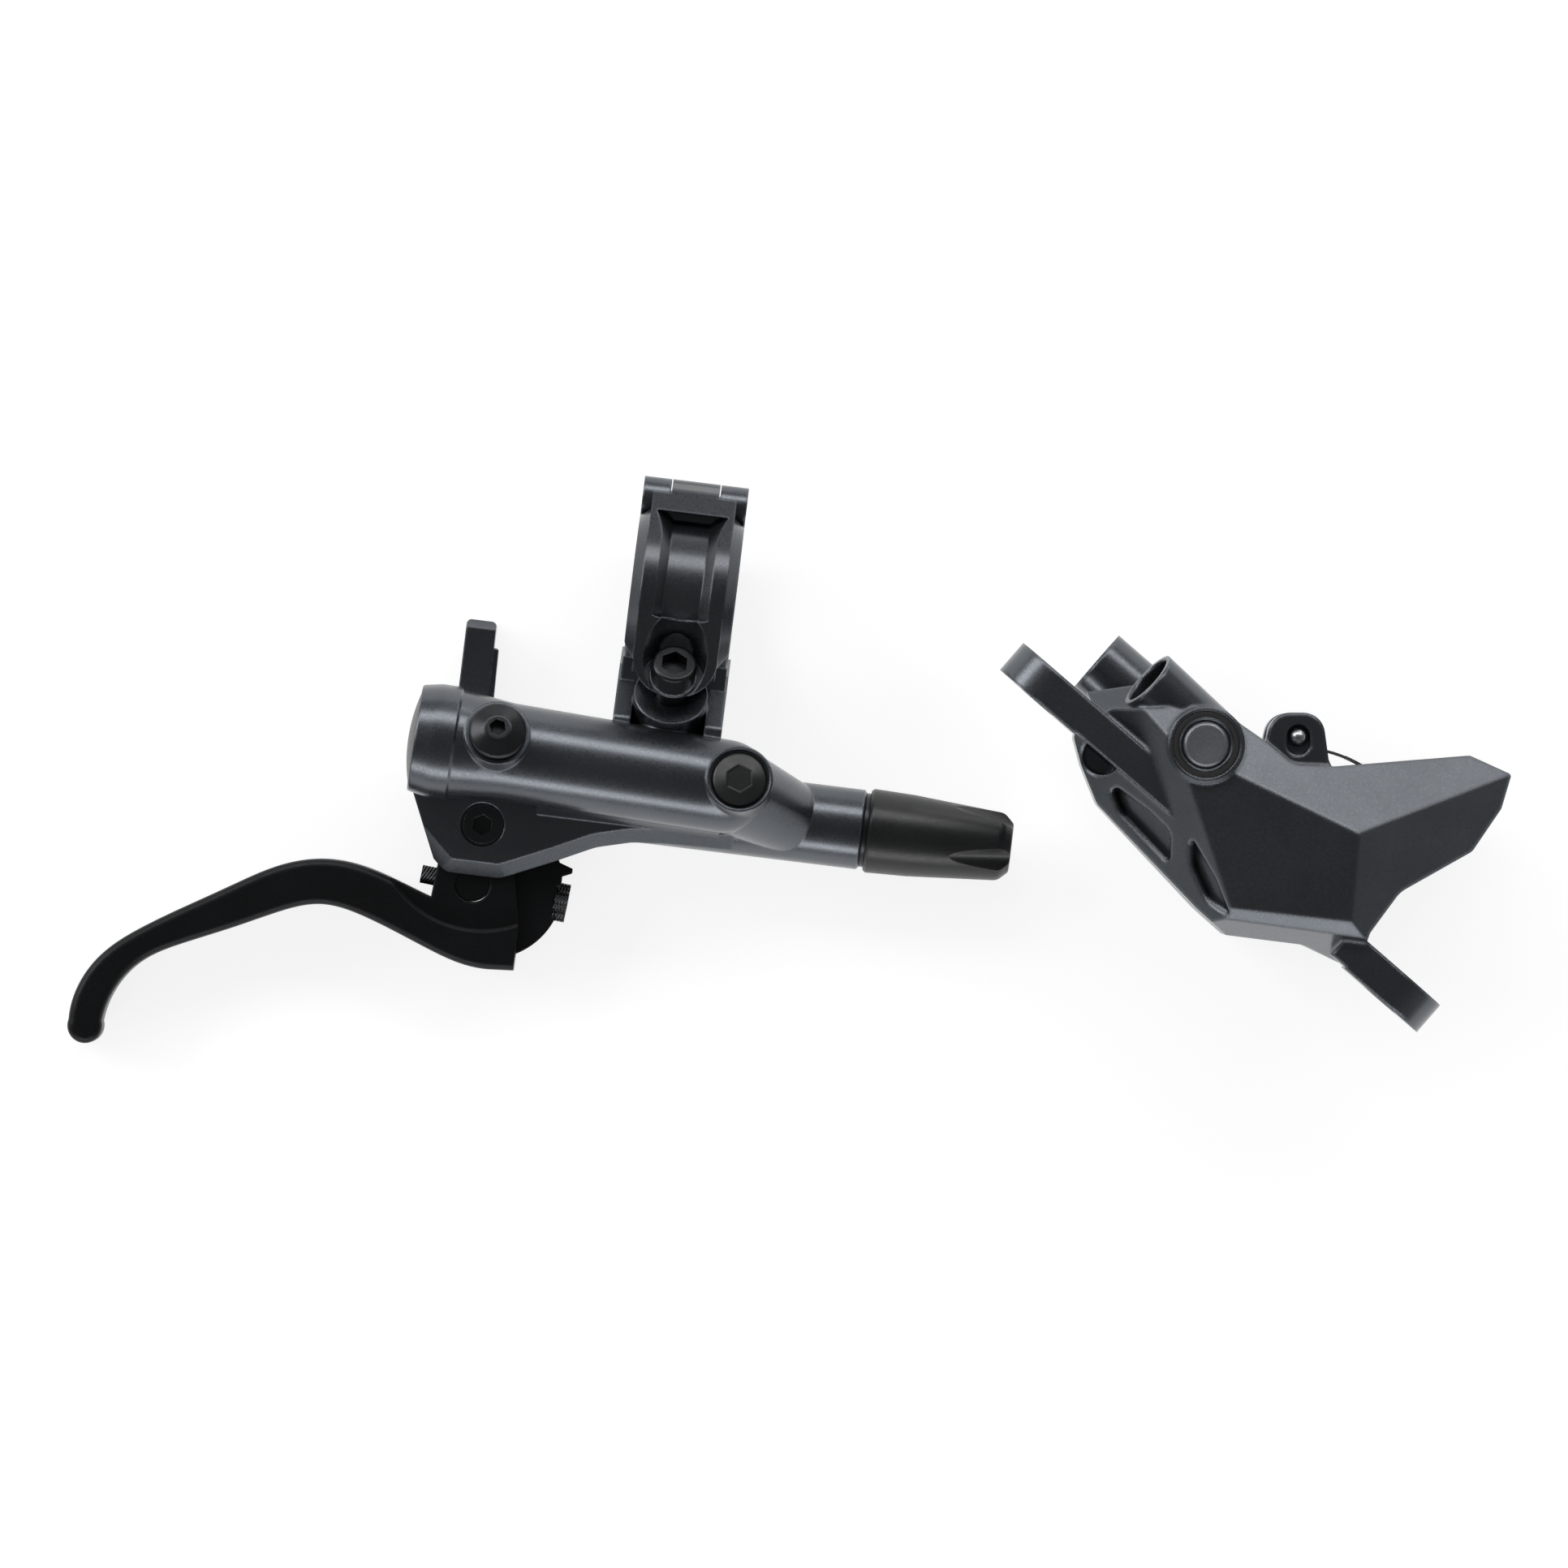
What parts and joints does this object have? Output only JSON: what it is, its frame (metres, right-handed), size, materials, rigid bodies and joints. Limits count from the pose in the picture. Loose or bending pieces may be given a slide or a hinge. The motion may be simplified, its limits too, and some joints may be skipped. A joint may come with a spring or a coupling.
{
  "type": "hydraulic disc brake",
  "caption": "Bicycle hydraulic disc brake: hand lever with master cylinder, reservoir and hinged bar clamp, beside its opposed-piston caliper with post-mount ears.",
  "frame": {"origin": "centre of the handlebar clamp, on the handlebar's axis", "axes": "+X along the handlebar from the finger blade towards the hose, +Z away from the bench that the set lies on, +Y from the master cylinder towards the clamp's hinge"},
  "size_m": [0.2301, 0.1038, 0.0468],
  "materials": {
    "grey_paint": "satin dark grey paint on cast and forged aluminium",
    "grey_black": "satin near-black paint on forged aluminium",
    "black_anodised": "fine matt black anodised aluminium",
    "black_plastic": "moulded glass-filled nylon",
    "rubber": "moulded nitrile rubber",
    "black_steel": "black oxide steel",
    "steel": "turned steel",
    "spring_steel": "bright spring steel",
    "plated_steel": "zinc-plated pressed steel",
    "turned_aluminium": "turned and clear anodised",
    "bronze": "turned bronze",
    "ceramic": "ground ceramic",
    "friction_resin": "pressed resin friction compound"
  },
  "bodies": {
    "root": {"lever_body": "grey_paint", "reservoir_cap": "black_plastic", "reservoir_diaphragm": "rubber", "bleed_screw": "black_steel", "bleed_seal": "rubber", "port_plug": "black_plastic", "clamp_hinge_pin": "steel", "pivot_pin": "black_steel", "return_spring": "spring_steel", "circlip": "spring_steel", "olive": "bronze", "hose_nut": "black_steel", "hose_cover": "black_plastic", "outboard_half": "grey_paint", "inboard_half": "grey_paint", "passage_plug": "grey_paint", "plug_o_ring": "rubber", "transfer_o_ring": "rubber", "pad_spring": "spring_steel", "pad_pin": "steel", "pin_clip": "spring_steel", "body_bolts": "black_steel", "outboard_small_seal": "rubber", "outboard_large_seal": "rubber", "inboard_small_seal": "rubber", "inboard_large_seal": "rubber"},
    "clamp_band_body": {"clamp_band": "grey_black"},
    "clamp_bolt_body": {"clamp_bolt": "black_steel", "clamp_washer": "steel"},
    "carrier": {"lever_carrier": "black_anodised", "pivot_bush": "bronze", "link_pin": "steel"},
    "blade": {"lever_blade": "black_anodised"},
    "trunnion": {"trunnion_nut": "steel"},
    "reach": {"reach_screw": "steel"},
    "plunger": {"push_rod": "steel", "master_piston": "turned_aluminium", "primary_cup": "rubber", "secondary_cup": "rubber"},
    "outboard_pad": {"outboard_small_piston": "ceramic", "outboard_large_piston": "ceramic", "outboard_backing": "plated_steel", "outboard_lining": "friction_resin"},
    "inboard_pad": {"inboard_small_piston": "ceramic", "inboard_large_piston": "ceramic", "inboard_backing": "plated_steel", "inboard_lining": "friction_resin"},
    "bleeder": {"bleed_valve": "steel"}
  },
  "joints": [
    {"name": "lever_pull", "type": "hinge", "parent": "root", "child": "carrier", "pos_m": [-0.0282, -0.0415, -0.008], "axis": [0, 0, -1], "range_deg": [0, 22], "stiffness_Nm_per_rad": 0.12, "springref_deg": -14.32},
    {"name": "lever_reach", "type": "hinge", "parent": "carrier", "child": "blade", "pos_m": [-0.0282, -0.0415, -0.008], "axis": [0, 0, -1], "range_deg": [-3, 7]},
    {"name": "reach_screw_turn", "type": "hinge", "parent": "carrier", "child": "reach", "pos_m": [-0.015, -0.05255, -0.008], "axis": [-0.9968, 0.0805, 0], "range_deg": [-626, 268]},
    {"name": "trunnion_slide", "type": "slide", "parent": "carrier", "child": "trunnion", "axis": [-0.9968, 0.0805, 0], "range_m": [-0.00053, 0.00123]},
    {"name": "piston_slide", "type": "slide", "parent": "root", "child": "plunger", "axis": [1, 0, 0], "range_m": [0, 0.0029], "deforming": ["return_spring"]},
    {"name": "clamp_hinge", "type": "hinge", "parent": "root", "child": "clamp_band_body", "pos_m": [0, 0.0154, 0], "axis": [-1, 0, 0], "range_deg": [0, 3]},
    {"name": "clamp_bolt_out", "type": "slide", "parent": "root", "child": "clamp_bolt_body", "axis": [0, 0.5878, 0.809], "range_m": [0, 0.0018]},
    {"name": "outboard_pad_slide", "type": "slide", "parent": "root", "child": "outboard_pad", "axis": [0, 0, -1], "range_m": [0, 0.001]},
    {"name": "inboard_pad_slide", "type": "slide", "parent": "root", "child": "inboard_pad", "axis": [0, 0, 1], "range_m": [0, 0.001]},
    {"name": "bleed_valve_turn", "type": "hinge", "parent": "root", "child": "bleeder", "pos_m": [0.06877, -0.00247, -0.0037], "axis": [0.829, -0.5592, 0], "range_deg": [0, 90]}
  ],
  "couplings": [
    {"joint": "piston_slide", "follows": "lever_pull", "m_per_rad": 0.006808},
    {"joint": "trunnion_slide", "follows": "lever_reach", "m_per_rad": 0.0099522},
    {"joint": "reach_screw_turn", "follows": "lever_reach", "ratio": -89.33},
    {"joint": "clamp_bolt_out", "follows": "clamp_hinge", "m_per_rad": 0.0336},
    {"joint": "inboard_pad_slide", "follows": "outboard_pad_slide", "ratio": 1}
  ]
}
